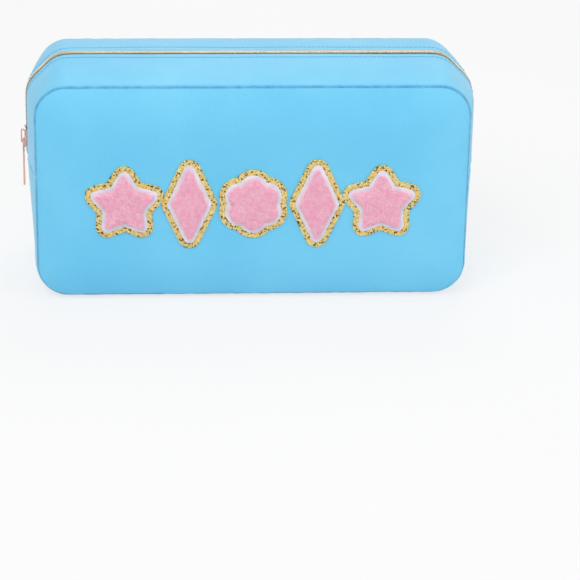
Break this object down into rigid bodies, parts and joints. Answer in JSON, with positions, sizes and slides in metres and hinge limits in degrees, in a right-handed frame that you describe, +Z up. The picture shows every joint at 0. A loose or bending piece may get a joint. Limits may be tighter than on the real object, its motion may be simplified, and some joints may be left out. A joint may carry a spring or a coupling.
{
  "type": "zipped tile case",
  "caption": "Soft zipped case for a set of game tiles, with crowned panels, a zip over the top and down both ends, and sewn patches.",
  "frame": {"origin": "middle of the flat foot of the case, on the surface it stands on", "axes": "+X along the length towards the right end as seen from the front, -Y towards the front panel with the patches, +Z up"},
  "size_m": [0.285, 0.118, 0.1455],
  "materials": {
    "nylon": "sky blue woven nylon with a soft satin sheen and padded backing",
    "lining": "thin plain-weave polyester lining, light blue",
    "binding": "folded woven binding tape, light blue",
    "zip_tape": "herringbone zip tape, light blue",
    "zip_coil": "nylon coil with a metallised pale gold finish",
    "slider_metal": "plated pale gold die-cast metal, polished",
    "glitter": "gold glitter on a backing sheet",
    "felt": "pale lilac white felt",
    "chenille": "pink looped chenille pile"
  },
  "bodies": {
    "case": {"front_panel": "nylon", "back_panel": "nylon", "bottom_gusset": "nylon", "front_zip_gusset": "nylon", "back_zip_gusset": "nylon", "front_lining": "lining", "back_lining": "lining", "bottom_lining": "lining", "front_zip_lining": "lining", "back_zip_lining": "lining", "front_seam_binding": "binding", "back_seam_binding": "binding", "front_left_tape": "zip_tape", "back_left_tape": "zip_tape", "front_right_tape": "zip_tape", "back_right_tape": "zip_tape", "front_left_coil": "zip_coil", "back_left_coil": "zip_coil", "front_right_coil": "zip_coil", "back_right_coil": "zip_coil", "left_star_glitter": "glitter", "left_star_felt": "felt", "left_star_pile": "chenille", "left_lozenge_glitter": "glitter", "left_lozenge_felt": "felt", "left_lozenge_pile": "chenille", "flower_glitter": "glitter", "flower_felt": "felt", "flower_pile": "chenille", "right_lozenge_glitter": "glitter", "right_lozenge_felt": "felt", "right_lozenge_pile": "chenille", "right_star_glitter": "glitter", "right_star_felt": "felt", "right_star_pile": "chenille"},
    "front_mouth": {"front_mouth_strip": "nylon", "front_mouth_lining": "lining", "front_mouth_tape": "zip_tape", "front_mouth_coil": "zip_coil"},
    "back_mouth": {"back_mouth_strip": "nylon", "back_mouth_lining": "lining", "back_mouth_tape": "zip_tape", "back_mouth_coil": "zip_coil"},
    "slider": {"slider_body": "slider_metal", "slider_bail": "slider_metal"},
    "pull": {"pull_tab": "slider_metal"}
  },
  "joints": [
    {"name": "front_mouth_fold", "type": "hinge", "parent": "case", "child": "front_mouth", "pos_m": [0, -0.043, 0.13948], "axis": [1, 0, 0], "range_deg": [0, 105]},
    {"name": "back_mouth_fold", "type": "hinge", "parent": "case", "child": "back_mouth", "pos_m": [0, 0.043, 0.13948], "axis": [-1, 0, 0], "range_deg": [0, 105]},
    {"name": "slider_run", "type": "slide", "parent": "case", "child": "slider", "axis": [0, 0, 1], "range_m": [0, 0.02], "deforming": ["front_left_coil", "back_left_coil"]},
    {"name": "pull_swing", "type": "hinge", "parent": "slider", "child": "pull", "pos_m": [-0.14255, 0, 0.0876], "axis": [0, 1, 0], "range_deg": [0, 150]}
  ]
}
